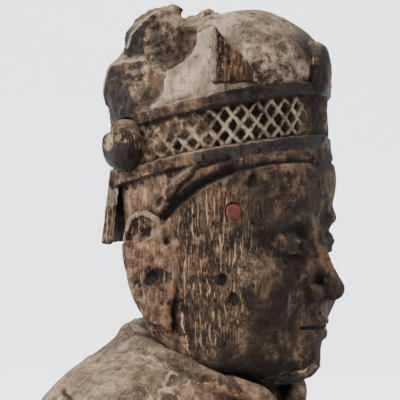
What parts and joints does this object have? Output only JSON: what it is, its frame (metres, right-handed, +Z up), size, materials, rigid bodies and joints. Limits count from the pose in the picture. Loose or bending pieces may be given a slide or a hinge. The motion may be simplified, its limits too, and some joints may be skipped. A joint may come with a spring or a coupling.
{
  "type": "carved seated ancestor figure",
  "caption": "Weathered carved wooden seated ancestor figure in a robe and latticed diadem, with pegged-on crown pieces and a consecration cavity closed by a back panel.",
  "frame": {"origin": "centre of the plinth's underside, on the surface that the figure stands on", "axes": "+Z up along the figure's height, -Y the way the figure faces, +X the figure's left"},
  "size_m": [0.146, 0.104, 0.2764],
  "materials": {
    "weathered_wood": "old dark lacquer worn to dusty bare wood, matte",
    "painted_robe": "flaking beige-pink ground over wood, matte",
    "plinth_wood": "worn dark lacquer, satin",
    "peg_wood": "reddish end grain, matte",
    "paper": "yellowed paper, matte",
    "cloth": "faded red cotton, matte",
    "thread": "undyed twisted thread, matte",
    "iron": "rusted wrought iron"
  },
  "bodies": {
    "figure": {"plinth": "plinth_wood", "plinth_dowels": "peg_wood", "torso": "painted_robe", "paper_scroll": "paper", "scroll_tie": "thread", "herb_packet": "cloth", "packet_tie": "thread", "right_sleeve": "painted_robe", "left_sleeve": "painted_robe", "sleeve_dowels": "peg_wood", "right_hand": "weathered_wood", "left_hand": "weathered_wood", "head": "weathered_wood", "neck_pin": "peg_wood", "temple_peg_right": "peg_wood", "temple_peg_left": "peg_wood", "crest_stub_right": "weathered_wood", "crest_stub_left": "weathered_wood", "front_knob": "weathered_wood", "side_knob_right": "weathered_wood", "side_knob_left": "weathered_wood", "nape_flap": "weathered_wood", "nape_flap_pegs": "peg_wood", "diadem_nail": "iron"},
    "back_cover": {"back_cover": "painted_robe"}
  },
  "joints": [
    {"name": "back_cover_slide", "type": "slide", "parent": "figure", "child": "back_cover", "axis": [0, 1, 0], "range_m": [0, 0.04]}
  ]
}
